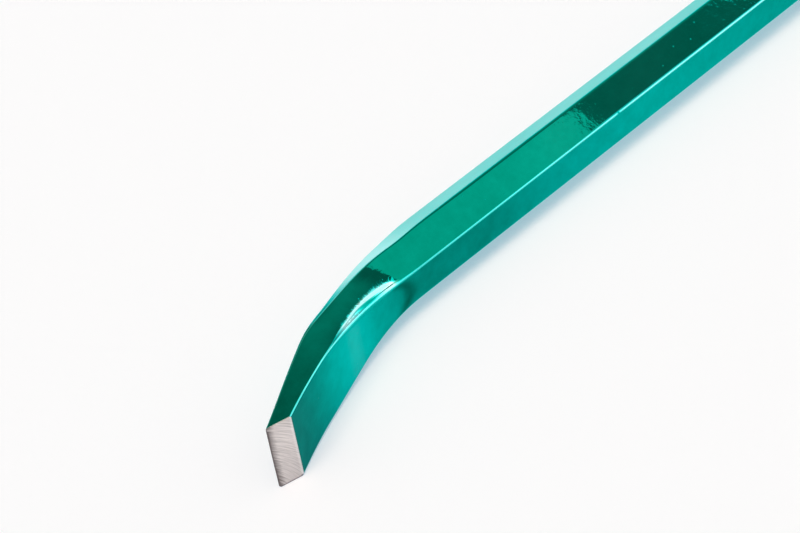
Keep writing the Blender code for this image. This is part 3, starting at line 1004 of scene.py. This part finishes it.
# what the gloss shows of the tent: for each panel the compass and the height of its middle,
# how wide and how high it is, its slope, its soft edge and its light. All but the slope
# and the light are degrees as seen from the bar, with the compass going from +Y towards
# -X; the slope tilts the upper and lower edge, in degrees of height to each of compass
tentShown = (0.80, 0.80, 0.78)
panels = {
    "darkGap": (104.0, 48.0, 92.0, 28.0, 0.0, 1.0, (0.185, 0.190, 0.145)),
    "gapLight": (117.0, 47.0, 60.0, 14.0, -0.2, 14.0, (0.38, 0.38, 0.29)),
    "backdropTop": (98.5, 13.04, 54.5, 60.0, -0.2137, 0.5, (1.9, 1.9, 1.8)),
    "strip": (103.0, 38.1, 42.0, 8.0, -0.2137, 2.0, (1.1, 1.1, 1.1)),
    "backdrop": (92.0, -5.0, 124.0, 70.0, 0.0, 10.0, (1.1, 1.1, 1.1)),
    "backdropGlow": (52.0, -5.0, 44.0, 70.0, 0.0, 10.0, (1.6, 1.6, 1.6)),
    "backdropGap": (82.0, 27.0, 38.0, 9.0, 0.5, 3.0, (0.6, 0.6, 0.6)),
}

# the eight cornered softbox whose edges the top face and the bend mirror: it is near
# enough to the bar that it has to be a real panel
softbox = {
    "light": (0.85, 0.79, 0.61),
    "corners": 8,
    "height": 0.361,
    "cornerAt": (-0.0905, 0.134),     # one corner, from above
    "turn": math.radians(42.9),       # from that corner to the middle
    "radius": 0.45,
}


def sheetOf(name, points, material):
    # one flat sheet of the set, which isn't part of the crowbar
    mesh = bpy.data.meshes.new(name)
    mesh.from_pydata(points, [], [tuple(range(len(points)))])
    mesh.materials.append(material)
    sheet = bpy.data.objects.new(name, mesh)
    bpy.context.scene.collection.objects.link(sheet)
    return sheet


def makeFloor():
    # a pale plane that the claw's side and the chisel's side both touch; part of its
    # paleness is only for the eye, mirrors and glass, so it puts no more light on the bar
    slope = studio["floorRise"] / (studio["floorRiseTo"] - studio["floorRiseFrom"])
    x, y = np.array([(-0.5, 0.5, 0.5, -0.5), (-0.5, -0.5, 0.5, 0.5)]) * studio["floorSize"]
    z = slope * (x - studio["floorRiseFrom"]) - studio["floorGap"]
    material, tree, shader = newMaterial("paleFloor")
    path = addNode(tree, "LightPath").outputs
    seen = number(tree, "MAXIMUM", path["Is Camera Ray"], path["Is Glossy Ray"])
    fill(tree, shader, {
        "Base Color": studio["floorColour"],
        "Roughness": 1.0,
        "Specular IOR Level": 0.0,
        "Emission Color": studio["floorShine"],
        "Emission Strength": number(tree, "MAXIMUM", seen, path["Is Transmission Ray"]),
    })
    sheetOf("floor", np.stack([x, y, z], -1), material)


def makeSoftbox():
    # only the gloss sees it
    turn, radius = softbox["turn"], softbox["radius"]
    middle = np.array(softbox["cornerAt"]) + radius * np.array([math.cos(turn), math.sin(turn)])
    turns = turn + math.pi + np.arange(softbox["corners"]) * 2.0 / softbox["corners"] * math.pi
    flat = middle + radius * np.stack([np.cos(turns), np.sin(turns)], -1)
    material, tree, shader = newMaterial("softboxCloth")
    fill(tree, shader, {
        "Base Color": (0.0, 0.0, 0.0),
        "Specular IOR Level": 0.0,
        "Emission Color": softbox["light"],
        "Emission Strength": 1.0,
    })
    sheet = sheetOf("softbox", raised(flat, np.full(len(flat), softbox["height"])), material)
    sheet.visible_camera = False
    sheet.visible_diffuse = False
    sheet.visible_shadow = False


def inside(tree, distance, reach, soft):
    # 1 well within the reach, 0 beyond it, smooth between
    return ranged(tree, distance, reach + soft / 2.0, reach - soft / 2.0, kind="SMOOTHSTEP")


def lightTent():
    # the world: even light with one soft lamp, and for the gloss a tent of panels, each a
    # soft edged patch of compass and height
    world = bpy.data.worlds.new("tent")
    bpy.context.scene.world = world
    world.use_nodes = True
    tree = world.node_tree
    where = addNode(tree, "TexCoord").outputs["Generated"]
    x, y, z = addNode(tree, "SeparateXYZ", {0: where}).outputs
    compass = number(tree, "DEGREES", number(tree, "ARCTAN2", number(tree, "MULTIPLY", x, -1.0), y))
    height = number(tree, "DEGREES", number(tree, "ARCSINE", z))

    shown = tentShown
    for name, (middle, lift, wide, high, slope, soft, light) in panels.items():
        aside = number(tree, "SUBTRACT", compass, middle)
        lifted = number(tree, "SUBTRACT", height, lift)
        lifted = number(tree, "SUBTRACT", lifted, number(tree, "MULTIPLY", aside, slope))
        wideMask = inside(tree, number(tree, "ABSOLUTE", aside), wide / 2.0, soft)
        highMask = inside(tree, number(tree, "ABSOLUTE", lifted), high / 2.0, soft)
        shown = laid(tree, number(tree, "MULTIPLY", wideMask, highMask), shown, light, name)

    lampAt = Vector(studio["lampTowards"]).normalized()
    towards = addNode(tree, "VectorMath", {0: where, 1: lampAt}, operation="DOT_PRODUCT")
    away = number(tree, "DEGREES", number(tree, "ARCCOSINE", towards.outputs["Value"]))
    lamp = inside(tree, away, studio["lampRadius"], studio["lampSoft"])
    even = laid(tree, lamp, studio["tent"], studio["lampLight"], "lamp")
    glossy = addNode(tree, "LightPath").outputs["Is Glossy Ray"]
    fill(tree, tree.nodes["Background"], {"Color": laid(tree, glossy, even, shown, "shown")})


makeFloor()
makeSoftbox()
lightTent()

# where the photograph was taken from: the camera's place and its three axes
view = {
    "place": (0.55294, 0.43588, 0.45223),
    "right": (-0.69281, 0.70831, -0.13532),
    "up": (-0.53601, -0.38030, 0.75370),
    "back": (0.48239, 0.59470, 0.64314),
    "lens": 108.0,
    "sensor": 36.0,
    "clipStart": 0.01,
}
lens = bpy.data.cameras.new("camera")
lens.lens = view["lens"]
lens.sensor_width = view["sensor"]
lens.clip_start = view["clipStart"]
camera = bpy.data.objects.new("camera", lens)
turn = Matrix((view["right"], view["up"], view["back"])).transposed().to_4x4()
camera.matrix_world = Matrix.Translation(view["place"]) @ turn
bpy.context.scene.collection.objects.link(camera)
bpy.context.scene.camera = camera
bpy.context.scene.view_settings.view_transform = "Standard"
print("studio set up")
